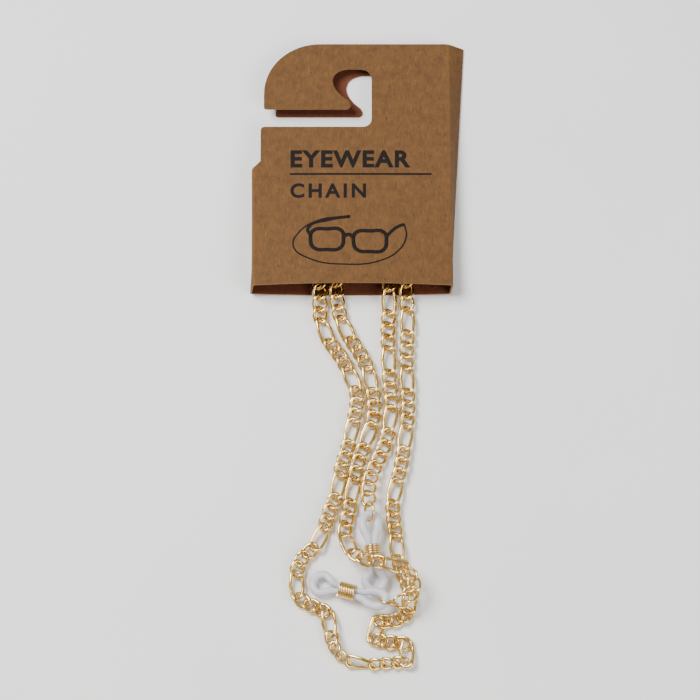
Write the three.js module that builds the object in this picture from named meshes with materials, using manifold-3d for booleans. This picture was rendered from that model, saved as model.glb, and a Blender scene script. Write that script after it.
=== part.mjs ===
// Eyeglasses chain strap in its hanger sleeve, as it lies on a table.
// A long figaro chain is folded into a kraft board sleeve; each end of the chain carries a
// silicone temple loop with a sliding wire coil. Millimetres, +Z up, +Y towards the hanger hook.
import * as THREE from "three";
import { mergeVertices } from "three/addons/utils/BufferGeometryUtils.js";
import Module from "manifold-3d";

// Hanger sleeve: one folded blank with a front, a back and two spines, open at both ends.
const BOARD = 0.45;
const FOLD_LEFT = -26.9;
const FOLD_RIGHT = 25.1;
const MOUTH_Y = -24.3;
const TOP_Y = 45.2;
const SPINE = 5.0;
const FRONT_LEAN = -0.9; // how far the front panel drifts sideways from mouth to top
const MOUTH_LEAN = -0.6; // how far the back panel sits to the right of the front, at the mouth
const TOP_LEAN = 4.4; // and at the top
const BACK_DROP = 0.6; // how much lower the back panel sits than the front
const FRONT_BULGE = 1.8; // the mouth is pushed open by the chain
const BACK_CURL = 1.0; // the mouth's corners lift off the table
const BULGE_FADE = 0.62; // share of the height over which the bulge dies out
const CURL_FADE = 0.28;
const PARTING_Z = 1.25; // a level between the two panels, wherever they are cut

// Cut-outs of the front panel; the back panel has the same ones, moved with it.
const HOOK_ARC = 14.8; // radius of the rounded shoulder at the top left
const HOOK_EDGE_X = -24.3;
const NOTCH_X = -25.1;
const NOTCH_Y = 8.5;
const NOTCH_CHAMFER = 2.4;
const SLOT_LOW_Y = 20.8;
const SLOT_HIGH_Y = 25.9;
const HOLE_LEFT_X = -6.2;
const HOLE_RIGHT_X = 4.1;
const HOLE_TOP_Y = 37.7;
const HOLE_FLAT = 3.2; // the short straight stretch that bears on a display hook
const CORNER = 1.2;
const SLOT_FILLET = 2.6;

// Chain.
const CHAIN_WIDTH = 3.3; // stand-in tube; the real links are 4 mm wide
const CHAIN_HEIGHT = 2.0;
const STEP = 7.2; // length of one straight stretch of the stand-in tube
const HUMP_STEP = 5.0;
const WIRE = 0.75;
const LINK_HALF_LENGTH = 2.2; // to the middle of the wire
const LINK_HALF_WIDTH = 1.62;
const LINK_TWIST = 38; // degrees from the middle of the link to its end
const LINK_PITCH = 3.1;
const GAP = 0.3;

// Jump rings and grips.
const RING_RADIUS = 2.45;
const RING_WIRE = 0.7;
const TUBE = 1.05; // radius of the silicone cord
const PINCHED = 0.75; // and where the coil squeezes it
const LEG_OFFSET = 0.56; // centre of each pinched leg from the grip's centre line
const TEMPLE_REACH = 9.35; // coil centre to the middle of the silicone at the temple end
const TEMPLE_HALF_WIDTH = 2.5;
const CHAIN_REACH = 10.4; // coil centre to the middle of the silicone at the chain end
const CHAIN_HALF_WIDTH = 1.85;
const COIL_WIRE = 0.55;
const COIL_CLEARANCE = 0.25;
const COIL_PITCH = 0.62;
const COIL_TURNS = 7;

// Clear tape that keeps the four strands side by side inside the mouth.
const TAPE = { x: [-14.4, 19.6], y: [-23.6, -12.0], z: 3.65, thickness: 0.25 };

// The chain's route, from the upper grip's end to the lower grip's end. Hand-chosen points.
const ROUTE = {
  chain_run_1: [
    [11.4, -100.8, 5.65], [9.2, -100.2, 6.05], [6.4, -99.9, 6.25], [3.4, -99.4, 6.2], [0.8, -98.3, 5.5],
    [-1.4, -96.0, 4.0], [-2.9, -92.8, 2.3], [-3.0, -89.8, 1.25], [-2.4, -87.0, 1.0], [-1.6, -83.3, 1.0], [-1.0, -79.2, 1.0],
    [-0.3, -75.6, 1.0], [0.3, -72.0, 1.0], [1.6, -68.1, 1.0], [3.4, -63.7, 1.0], [4.3, -60.1, 1.0],
    [4.7, -56.5, 1.0], [4.5, -53.2, 1.0], [3.6, -48.2, 1.0], [2.6, -44.3, 1.0], [0.8, -41.0, 1.0],
    [-1.6, -37.4, 1.0], [-3.2, -34.4, 1.0], [-4.4, -30.0, 1.1], [-5.1, -27.0, 1.9],
  ],
  chain_fold_1: [
    [-5.1, -26.4, 2.0], [-5.2, -23.5, 2.2], [-5.1, -18.0, 2.0], [-4.7, -12.5, 2.1], [-3.8, -7.0, 2.15],
    [-2.6, -1.4, 2.15], [-1.6, 4.1, 2.15], [-1.6, 9.6, 2.15], [-3.9, 14.3, 2.15], [-7.3, 16.0, 2.15],
    [-10.9, 14.3, 2.15], [-13.3, 9.6, 2.15], [-13.3, 4.1, 2.15], [-12.1, -1.4, 2.15], [-10.9, -7.0, 2.15],
    [-10.1, -12.5, 2.1], [-9.7, -18.0, 2.0], [-9.5, -23.5, 2.2], [-9.5, -26.4, 2.0],
  ],
  chain_run_2: [
    [-9.5, -27.0, 1.9], [-9.5, -30.0, 1.1], [-8.8, -34.4, 1.0], [-7.3, -37.7, 1.0], [-5.2, -40.7, 1.0],
    [-3.2, -43.5, 1.0], [-1.8, -46.8, 1.0], [-0.3, -50.2, 1.0], [0.4, -53.2, 1.0], [0.0, -56.5, 1.0],
    [-0.8, -60.9, 1.0], [-1.7, -65.6, 1.0], [-2.7, -69.2, 1.0], [-3.9, -72.6, 1.0], [-4.2, -76.2, 1.0],
    [-4.9, -80.0, 1.0], [-6.5, -83.3, 1.0], [-7.5, -86.9, 1.0], [-8.8, -91.1, 1.0], [-10.5, -94.4, 1.0],
    [-13.1, -96.3, 1.0], [-15.0, -99.1, 1.0], [-15.3, -104.1, 1.0], [-15.1, -107.4, 1.0],
    [-12.7, -109.5, 1.0], [-9.6, -110.6, 1.0], [-7.3, -111.8, 1.0], [-6.5, -114.6, 1.0], [-6.5, -117.4, 1.0],
  ],
  chain_run_3: [
    [-6.4, -118.0, 1.0], [-5.2, -122.3, 1.0], [-1.6, -125.1, 1.0], [3.1, -125.9, 1.0], [8.3, -125.4, 1.0],
    [12.2, -125.4, 1.0], [14.4, -123.0, 1.0], [13.3, -120.3, 1.0], [9.4, -119.8, 1.0], [5.2, -119.4, 1.0],
    [3.2, -116.8, 1.0], [4.7, -114.4, 1.0], [8.3, -114.2, 1.0], [11.7, -113.4, 1.0], [13.9, -110.7, 1.0],
    [14.0, -107.1, 1.0], [12.7, -103.3, 1.0], [11.3, -99.9, 1.0], [10.7, -96.6, 1.0], [10.4, -93.3, 1.0],
    [9.9, -89.4, 1.0], [9.5, -85.6, 1.0], [9.4, -82.0, 1.0], [9.8, -78.4, 1.0], [11.1, -74.8, 1.0],
    [11.8, -71.4, 1.0], [12.3, -67.3, 1.0], [12.9, -63.4, 1.0], [13.3, -59.8, 1.0], [13.5, -56.0, 1.0],
    [13.4, -52.1, 1.0], [13.1, -47.7, 1.0], [13.1, -43.2, 1.0], [13.3, -38.8, 1.0], [13.5, -33.8, 1.0],
    [13.4, -30.0, 1.1], [13.1, -27.0, 1.9],
  ],
  chain_fold_2: [
    [13.1, -26.4, 2.0], [13.1, -23.5, 2.2], [13.2, -18.0, 2.0], [13.6, -12.5, 2.1], [14.5, -7.0, 2.15],
    [15.7, -1.4, 2.15], [16.6, 4.1, 2.15], [16.6, 9.6, 2.15], [14.3, 14.3, 2.15], [10.9, 16.0, 2.15],
    [7.3, 14.3, 2.15], [4.9, 9.6, 2.15], [4.9, 4.1, 2.15], [6.0, -1.4, 2.15], [7.2, -7.0, 2.15],
    [8.1, -12.5, 2.1], [8.5, -18.0, 2.0], [8.6, -23.5, 2.2], [8.6, -26.4, 2.0],
  ],
  chain_run_4: [
    [8.6, -27.0, 1.9], [8.6, -30.0, 1.1], [8.3, -34.1, 1.0], [8.3, -38.3, 1.0], [8.5, -42.7, 1.0],
    [8.6, -47.1, 1.0], [8.8, -51.0, 1.0], [9.2, -54.9, 1.0], [9.0, -59.0, 1.0], [8.3, -62.9, 1.0],
    [7.7, -65.9, 1.0], [6.8, -68.2, 1.0], [5.8, -70.4, 1.1],
  ],
};

// Each end of the chain: where the tube stops, then the headings and pitches (degrees) of the
// links that follow it and of the ring and grip, all pointing away from the tube.
const END_A = {
  tag: "a",
  start: ROUTE.chain_run_1[0],
  headings: [-45, -85, -125, -165],
  pitches: [-2, -2, -2, -2],
  gripHeading: 161,
  gripPitch: -10.1,
  ringRoll: 25,
};
const END_B = {
  tag: "b",
  start: ROUTE.chain_run_4.at(-1),
  headings: [-112, -104, -95, -89],
  pitches: [10, 14, 13, 12],
  gripHeading: -85.6,
  gripPitch: -6.4,
  ringRoll: 25,
};

const KRAFT = { color: "#84602f", roughness: 0.9 };
const GOLD = { color: "#d9a441", roughness: 0.25, metalness: 1 };
const SILICONE = { color: "#d9dadd", roughness: 0.4 };
const CLEAR = { color: "#cfd2d2", roughness: 0.3 };

const wasm = await Module();
wasm.setup();
const model = new THREE.Group();
const radians = THREE.MathUtils.degToRad;

// ---------------------------------------------------------------- solids

function toSolid(geometry) {
  const bare = geometry.clone();
  bare.deleteAttribute("normal");
  bare.deleteAttribute("uv");
  const merged = mergeVertices(bare, 1e-4);
  return new wasm.Manifold(
    new wasm.Mesh({
      numProp: 3,
      vertProperties: new Float32Array(merged.attributes.position.array),
      triVerts: new Uint32Array(merged.index.array),
    }),
  );
}

function toGeometry(solid) {
  const mesh = solid.getMesh();
  const geometry = new THREE.BufferGeometry();
  geometry.setAttribute("position", new THREE.BufferAttribute(mesh.vertProperties, 3));
  geometry.setIndex(new THREE.BufferAttribute(mesh.triVerts, 1));
  geometry.computeVertexNormals();
  return geometry;
}

function addPiece(parent, name, geometry, finish) {
  const piece = new THREE.Mesh(geometry, new THREE.MeshStandardMaterial(finish));
  piece.name = name;
  parent.add(piece);
  return piece;
}

// A group whose own +X runs along a heading (about Z) and a pitch (upwards).
function aimedGroup(position, heading, pitch) {
  const group = new THREE.Group();
  group.position.copy(position);
  group.rotation.set(0, -radians(pitch), radians(heading), "ZYX");
  return group;
}

function direction(heading, pitch) {
  const flat = Math.cos(radians(pitch));
  return new THREE.Vector3(
    flat * Math.cos(radians(heading)),
    flat * Math.sin(radians(heading)),
    Math.sin(radians(pitch)),
  );
}

// ---------------------------------------------------------------- hanger sleeve

const heightShare = (y) => (y - MOUTH_Y) / (TOP_Y - MOUTH_Y);
const leanAt = (share) => MOUTH_LEAN + (TOP_LEAN - MOUTH_LEAN) * share;
const frontShiftAt = (share) => FRONT_LEAN * share;
const riseAt = (share) => Math.sqrt(SPINE ** 2 - leanAt(share) ** 2);
const fade = (share, reach) => Math.max(0, 1 - share / reach) ** 2;

// The middle of the board round one section of the sleeve: front, right spine, back, left spine.
function sleeveSection(share) {
  const across = 12;
  const lean = leanAt(share);
  const shift = frontShiftAt(share);
  const curl = BACK_CURL * fade(share, CURL_FADE);
  const backZ = BOARD / 2;
  const frontZ = backZ + curl + riseAt(share);
  const bulge = FRONT_BULGE * fade(share, BULGE_FADE);
  const points = [];
  for (let i = 0; i <= across; i += 1) {
    const side = (2 * i) / across - 1;
    const x = THREE.MathUtils.lerp(FOLD_LEFT, FOLD_RIGHT, i / across) + shift;
    points.push({ x, z: frontZ + bulge * (1 - side ** 2), level: 1 });
  }
  for (let i = 0; i <= across; i += 1) {
    const side = 1 - (2 * i) / across;
    const x = THREE.MathUtils.lerp(FOLD_RIGHT, FOLD_LEFT, i / across) + shift + lean;
    points.push({ x, z: backZ + curl * side ** 2, level: 0 });
  }
  return points;
}

// Moves each corner of a closed section out by a distance, keeping the walls parallel.
function offsetSection(points, distance) {
  return points.map((point, i) => {
    const before = points.at(i - 1);
    const after = points[(i + 1) % points.length];
    const first = new THREE.Vector2(before.z - point.z, point.x - before.x).normalize();
    const second = new THREE.Vector2(point.z - after.z, after.x - point.x).normalize();
    const mitre = first.clone().add(second).multiplyScalar(distance / (1 + first.dot(second)));
    return { x: point.x + mitre.x, z: point.z + mitre.y, level: point.level };
  });
}

// A closed wall between an outer and an inner section, lofted from the mouth to the top.
function sleeveGeometry() {
  const stations = 14;
  const rings = [];
  for (let i = 0; i <= stations; i += 1) {
    const share = (i / stations) ** 1.25;
    const section = sleeveSection(share);
    const outer = offsetSection(section, BOARD / 2);
    const inner = offsetSection(section, -BOARD / 2);
    const y = THREE.MathUtils.lerp(MOUTH_Y, TOP_Y, share);
    rings.push([...outer, ...inner].map((p) => [p.x, y - BACK_DROP * (1 - p.level), p.z]));
  }
  const count = rings[0].length / 2;
  const indices = [];
  const quad = (a, b, c, d) => indices.push(a, c, b, a, d, c);
  for (let k = 0; k < count; k += 1) {
    const next = (k + 1) % count;
    for (let i = 0; i < stations; i += 1) {
      const low = i * 2 * count;
      const high = low + 2 * count;
      quad(low + k, high + k, high + next, low + next);
      quad(low + count + k, low + count + next, high + count + next, high + count + k);
    }
    const top = stations * 2 * count;
    quad(k, next, count + next, count + k);
    quad(top + k, top + count + k, top + count + next, top + next);
  }
  const geometry = new THREE.BufferGeometry();
  geometry.setAttribute("position", new THREE.Float32BufferAttribute(rings.flat(2), 3));
  geometry.setIndex(indices);
  return geometry;
}

// What is cut away at the upper left: the notch, the hang slot, the hook hole and the corner.
function wasteOutline() {
  const far = 60;
  const arcX = HOOK_EDGE_X + HOOK_ARC;
  const arcY = TOP_Y - HOOK_ARC;
  const flatX = (HOLE_LEFT_X + HOLE_RIGHT_X) / 2 - HOLE_FLAT / 2 + 0.4;
  const outline = new THREE.Shape();
  outline.moveTo(-far, NOTCH_Y);
  outline.lineTo(NOTCH_X - NOTCH_CHAMFER, NOTCH_Y);
  outline.lineTo(NOTCH_X, NOTCH_Y + NOTCH_CHAMFER);
  outline.lineTo(NOTCH_X, SLOT_LOW_Y - CORNER);
  outline.quadraticCurveTo(NOTCH_X, SLOT_LOW_Y, NOTCH_X + CORNER, SLOT_LOW_Y);
  outline.lineTo(HOLE_RIGHT_X - SLOT_FILLET, SLOT_LOW_Y);
  outline.quadraticCurveTo(HOLE_RIGHT_X, SLOT_LOW_Y, HOLE_RIGHT_X, SLOT_LOW_Y + SLOT_FILLET);
  outline.lineTo(HOLE_RIGHT_X, HOLE_TOP_Y - 3.3);
  outline.quadraticCurveTo(HOLE_RIGHT_X, HOLE_TOP_Y, flatX + HOLE_FLAT, HOLE_TOP_Y);
  outline.lineTo(flatX, HOLE_TOP_Y);
  outline.quadraticCurveTo(HOLE_LEFT_X, HOLE_TOP_Y - 0.6, HOLE_LEFT_X, HOLE_TOP_Y - 3.6);
  outline.quadraticCurveTo(HOLE_LEFT_X + 0.3, SLOT_HIGH_Y + 5.2, HOLE_LEFT_X + 4.0, SLOT_HIGH_Y + 2.6);
  outline.quadraticCurveTo(HOLE_LEFT_X + 5.6, SLOT_HIGH_Y + 0.7, HOLE_LEFT_X + 3.8, SLOT_HIGH_Y);
  outline.lineTo(HOOK_EDGE_X + 0.8, SLOT_HIGH_Y);
  outline.quadraticCurveTo(HOOK_EDGE_X, SLOT_HIGH_Y, HOOK_EDGE_X, SLOT_HIGH_Y + 0.8);
  outline.lineTo(HOOK_EDGE_X, arcY);
  outline.absarc(arcX, arcY, HOOK_ARC, Math.PI, Math.PI / 2, true);
  outline.lineTo(arcX, far);
  outline.lineTo(-far, far);
  return outline;
}

function wasteSolid(forBack) {
  const reach = 14;
  const points = wasteOutline()
    .getPoints(5)
    .map((p) => {
      const moved = forBack ? leanAt(heightShare(p.y)) : 0;
      return new THREE.Vector2(p.x + moved, p.y - (forBack ? BACK_DROP : 0));
    });
  const block = new THREE.ExtrudeGeometry(new THREE.Shape(points), { depth: reach, bevelEnabled: false });
  block.translate(0, 0, forBack ? PARTING_Z - reach : PARTING_Z);
  return toSolid(block);
}

function addSleeve() {
  const cut = toSolid(sleeveGeometry()).subtract(wasteSolid(false)).subtract(wasteSolid(true));
  addPiece(model, "hanger_card", toGeometry(cut), KRAFT);
}

// ---------------------------------------------------------------- chain

// A route whose section stays level, so that a flat strand lies on its broad side.
class LevelRoute extends THREE.CatmullRomCurve3 {
  computeFrenetFrames(segments) {
    const frames = { tangents: [], normals: [], binormals: [] };
    for (let i = 0; i <= segments; i += 1) {
      const tangent = this.getTangentAt(i / segments);
      const side = new THREE.Vector3(-tangent.y, tangent.x, 0).normalize();
      frames.tangents.push(tangent);
      frames.normals.push(side);
      frames.binormals.push(new THREE.Vector3().crossVectors(tangent, side));
    }
    return frames;
  }
}

function flatSection(width, height) {
  const shape = new THREE.Shape();
  const sides = 8;
  for (let i = 0; i < sides; i += 1) {
    const angle = ((i + 0.5) / sides) * 2 * Math.PI;
    const reach = 1 / Math.cos(Math.PI / sides);
    const x = (width / 2) * reach * Math.cos(angle);
    const y = (height / 2) * reach * Math.sin(angle);
    if (i === 0) shape.moveTo(x, y);
    else shape.lineTo(x, y);
  }
  return shape;
}

function addChainTubes() {
  for (const [name, points] of Object.entries(ROUTE)) {
    const route = new LevelRoute(points.map((p) => new THREE.Vector3(...p)), false, "centripetal");
    const step = name === "chain_run_1" ? HUMP_STEP : STEP;
    const tube = new THREE.ExtrudeGeometry(flatSection(CHAIN_WIDTH, CHAIN_HEIGHT), {
      steps: Math.ceil(route.getLength() / step),
      extrudePath: route,
    });
    addPiece(model, name, tube, GOLD);
  }
}

function addTape() {
  const [x0, x1] = TAPE.x;
  const [y0, y1] = TAPE.y;
  const strip = new THREE.BoxGeometry(x1 - x0, y1 - y0, TAPE.thickness);
  const piece = addPiece(model, "clear_tape", strip, CLEAR);
  piece.position.set((x0 + x1) / 2, (y0 + y1) / 2, TAPE.z + TAPE.thickness / 2);
}

// A curb link: a ring drawn out into a stadium and twisted about its length.
function linkGeometry() {
  const around = 20;
  const link = new THREE.TorusGeometry(LINK_HALF_WIDTH, WIRE / 2, 8, around);
  link.rotateZ(Math.PI / around);
  const straight = LINK_HALF_LENGTH - LINK_HALF_WIDTH;
  const points = link.attributes.position;
  for (let i = 0; i < points.count; i += 1) {
    const x = points.getX(i) + straight * Math.sign(points.getX(i));
    const angle = (-radians(LINK_TWIST) * x) / LINK_HALF_LENGTH;
    const y = points.getY(i);
    const z = points.getZ(i);
    const turnedY = y * Math.cos(angle) - z * Math.sin(angle);
    const turnedZ = y * Math.sin(angle) + z * Math.cos(angle);
    points.setXYZ(i, x, turnedY, turnedZ);
  }
  return link;
}

// ---------------------------------------------------------------- grips

// A soft cord whose thickness changes along its length, from the temple tip to the chain tip.
class SoftRoute extends THREE.CatmullRomCurve3 {
  computeFrenetFrames(segments) {
    const frames = { tangents: [], normals: [], binormals: [] };
    const up = new THREE.Vector3(0, 0, 1);
    const squeezed = COIL_TURNS * COIL_PITCH * 0.5;
    for (let i = 0; i <= segments; i += 1) {
      const tangent = this.getTangentAt(i / segments);
      const distance = Math.abs(this.getPointAt(i / segments).x) - squeezed;
      const open = THREE.MathUtils.smoothstep(distance, 0, 1.8);
      const girth = THREE.MathUtils.lerp(PINCHED, TUBE, open);
      const side = new THREE.Vector3().crossVectors(up, tangent).normalize();
      frames.tangents.push(tangent);
      frames.normals.push(side.multiplyScalar(girth));
      frames.binormals.push(up.clone().multiplyScalar(girth));
    }
    return frames;
  }
}

function loopHalf(side) {
  const lap = 0.15; // the halves run past each other, so that they join
  const outline = [
    [TEMPLE_REACH, -lap],
    [TEMPLE_REACH - 0.3, 1.2],
    [TEMPLE_REACH - 1.3, 2.2],
    [TEMPLE_REACH - 2.6, TEMPLE_HALF_WIDTH],
    [TEMPLE_REACH - 4.1, 2.0],
    [TEMPLE_REACH - 5.5, 1.3],
    [2.4, LEG_OFFSET + 0.1],
    [0, LEG_OFFSET],
    [-2.4, LEG_OFFSET + 0.1],
    [-4.4, 1.25],
    [-6.2, CHAIN_HALF_WIDTH],
    [-CHAIN_REACH + 1.6, CHAIN_HALF_WIDTH],
    [-CHAIN_REACH + 0.4, 1.15],
    [-CHAIN_REACH, -lap],
  ];
  const route = new SoftRoute(outline.map(([x, y]) => new THREE.Vector3(x, side * y, 0)));
  const section = new THREE.Shape().absarc(0, 0, 1, 0, 2 * Math.PI);
  return toSolid(
    new THREE.ExtrudeGeometry(section, { steps: 34, curveSegments: 5, extrudePath: route }),
  );
}

function siliconeGeometry() {
  return toGeometry(loopHalf(1).add(loopHalf(-1)));
}

class Helix extends THREE.Curve {
  constructor(radius, pitch, turns) {
    super();
    Object.assign(this, { radius, pitch, turns });
  }

  getPoint(t) {
    const angle = t * this.turns * 2 * Math.PI;
    const x = (t - 0.5) * this.turns * this.pitch;
    return new THREE.Vector3(x, this.radius * Math.cos(angle), this.radius * Math.sin(angle));
  }
}

function coilGeometry() {
  const radius = LEG_OFFSET + PINCHED + COIL_CLEARANCE + COIL_WIRE / 2;
  const stepsPerTurn = 12;
  const section = new THREE.Shape().absarc(0, 0, COIL_WIRE / 2, 0, 2 * Math.PI);
  return new THREE.ExtrudeGeometry(section, {
    steps: COIL_TURNS * stepsPerTurn,
    curveSegments: 3,
    extrudePath: new Helix(radius, COIL_PITCH, COIL_TURNS),
  });
}

// The last links, a jump ring and a grip, laid one after the other from the end of a strand.
function addEnd(end) {
  const reach = GAP + WIRE / 2 + LINK_HALF_LENGTH;
  let centre = new THREE.Vector3(...end.start);
  let ahead = null;
  end.headings.forEach((heading, i) => {
    const aim = direction(heading, end.pitches[i]);
    if (i === 0) centre.addScaledVector(aim, reach);
    else centre.addScaledVector(ahead, LINK_PITCH / 2).addScaledVector(aim, LINK_PITCH / 2);
    const place = aimedGroup(centre, heading, end.pitches[i]);
    addPiece(place, `link_${end.tag}${end.headings.length - i}`, linkGeometry(), GOLD);
    model.add(place);
    ahead = aim;
    centre = centre.clone();
  });
  const ringInside = RING_RADIUS - RING_WIRE / 2;
  const barToRing = ringInside - GAP - WIRE / 2;
  const ringToTip = ringInside - GAP - TUBE;
  const gripAim = direction(end.gripHeading, end.gripPitch);
  const bar = centre.clone().addScaledVector(ahead, LINK_HALF_LENGTH);
  const ringCentre = bar.clone().addScaledVector(gripAim, barToRing);
  const coilCentre = ringCentre.clone().addScaledVector(gripAim, ringToTip + CHAIN_REACH);
  const ringPlace = aimedGroup(ringCentre, end.gripHeading, end.gripPitch);
  const ring = new THREE.TorusGeometry(RING_RADIUS, RING_WIRE / 2, 8, 20);
  addPiece(ringPlace, `jump_ring_${end.tag}`, ring, GOLD).rotation.x = radians(90 - end.ringRoll);
  model.add(ringPlace);
  const grip = aimedGroup(coilCentre, end.gripHeading, end.gripPitch);
  addPiece(grip, `silicone_loop_${end.tag}`, siliconeGeometry(), SILICONE);
  addPiece(grip, `coil_slider_${end.tag}`, coilGeometry(), GOLD);
  model.add(grip);
}

addSleeve();
addTape();
addChainTubes();
addEnd(END_A);
addEnd(END_B);

export default model;
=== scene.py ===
# %% [markdown]
# # A spectacles chain in its hanger sleeve
# A long gold chain hangs spectacles round the neck. For the shop it is folded up in a brown
# board sleeve with a hook hole. Its ends carry silicone loops that grip the temples. The parts
# come packed, in metres, with the table at z = 0; this lesson gives each one its real shape
# and finish.

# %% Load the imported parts
import math

import bpy
from mathutils import Matrix, Vector


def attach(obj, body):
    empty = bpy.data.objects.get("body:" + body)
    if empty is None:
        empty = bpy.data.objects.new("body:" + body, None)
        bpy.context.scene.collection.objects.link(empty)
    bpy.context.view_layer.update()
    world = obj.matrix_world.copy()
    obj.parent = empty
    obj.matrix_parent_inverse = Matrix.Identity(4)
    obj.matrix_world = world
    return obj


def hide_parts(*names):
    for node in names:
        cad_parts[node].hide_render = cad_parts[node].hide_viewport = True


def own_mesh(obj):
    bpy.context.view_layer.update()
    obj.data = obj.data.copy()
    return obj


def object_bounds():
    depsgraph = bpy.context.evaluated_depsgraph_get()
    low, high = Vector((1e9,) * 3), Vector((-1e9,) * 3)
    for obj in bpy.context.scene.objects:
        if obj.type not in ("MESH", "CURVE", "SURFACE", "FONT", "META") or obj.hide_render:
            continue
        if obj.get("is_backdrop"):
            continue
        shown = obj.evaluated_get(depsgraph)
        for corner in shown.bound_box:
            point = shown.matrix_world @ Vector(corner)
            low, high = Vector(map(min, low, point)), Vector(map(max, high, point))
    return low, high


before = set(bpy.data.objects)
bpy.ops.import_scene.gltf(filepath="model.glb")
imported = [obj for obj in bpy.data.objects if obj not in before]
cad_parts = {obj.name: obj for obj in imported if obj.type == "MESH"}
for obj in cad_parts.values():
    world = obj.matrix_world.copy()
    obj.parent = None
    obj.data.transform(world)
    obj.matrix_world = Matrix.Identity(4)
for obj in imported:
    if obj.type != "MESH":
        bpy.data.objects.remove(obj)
cad_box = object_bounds()
MM = 0.001


def add_object(name, data):
    piece = bpy.data.objects.new(name, data)
    bpy.context.scene.collection.objects.link(piece)
    return piece


# %% [markdown]
# ## Camera
# The sleeve lies on a table and is seen from the side of its mouth, steeply from above. A long
# lens a good way off keeps the card's sides nearly parallel, as in a shop's catalogue.

# %% Camera
AIM = Vector((-0.0016, -0.0400, 0.0))
CAMERA_ELEVATION = math.radians(70)
CAMERA_DISTANCE = 1.4
FRAME_WIDTH = 0.182

camera_data = bpy.data.cameras.new("catalogue_camera")
camera = add_object("catalogue_camera", camera_data)
bpy.context.scene.camera = camera
away = Vector((0, -math.cos(CAMERA_ELEVATION), math.sin(CAMERA_ELEVATION)))
camera.location = AIM + away * CAMERA_DISTANCE
camera.rotation_euler = away.to_track_quat("Z", "Y").to_euler()
camera_data.lens_unit = "FOV"
camera_data.angle = 2 * math.atan(FRAME_WIDTH / 2 / CAMERA_DISTANCE)
camera_data.clip_end = 10
print("camera lens angle", round(math.degrees(camera_data.angle), 2))
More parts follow.
